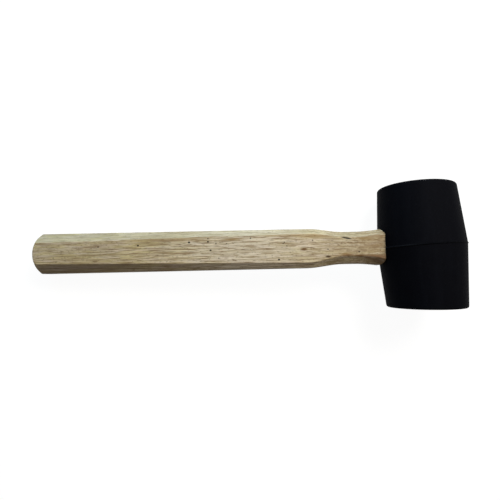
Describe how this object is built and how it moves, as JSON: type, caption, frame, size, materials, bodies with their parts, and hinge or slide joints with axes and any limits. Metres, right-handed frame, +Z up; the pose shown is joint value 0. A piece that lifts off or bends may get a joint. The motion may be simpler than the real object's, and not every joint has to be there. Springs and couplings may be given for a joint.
{
  "type": "rubber mallet",
  "caption": "Rubber mallet with a solid double-tapered cylindrical head wedged on an octagonal hardwood handle with a waisted, flared neck, lying on its side.",
  "frame": {"origin": "centre of the mallet's footprint on the bench that it lies on", "axes": "+X along the handle towards the head, +Y along the head from face to face, +Z up from the bench"},
  "size_m": [0.3282, 0.0934, 0.062],
  "materials": {
    "rubber": "moulded black rubber, satin",
    "handle_wood": "pale hardwood, sanded and thinly waxed",
    "wedge_wood": "bare hardwood, sawn",
    "wedge_steel": "bare mild steel"
  },
  "bodies": {
    "root": {"rubber_head": "rubber", "handle": "handle_wood", "wooden_wedge": "wedge_wood", "steel_wedge": "wedge_steel"}
  },
  "joints": []
}
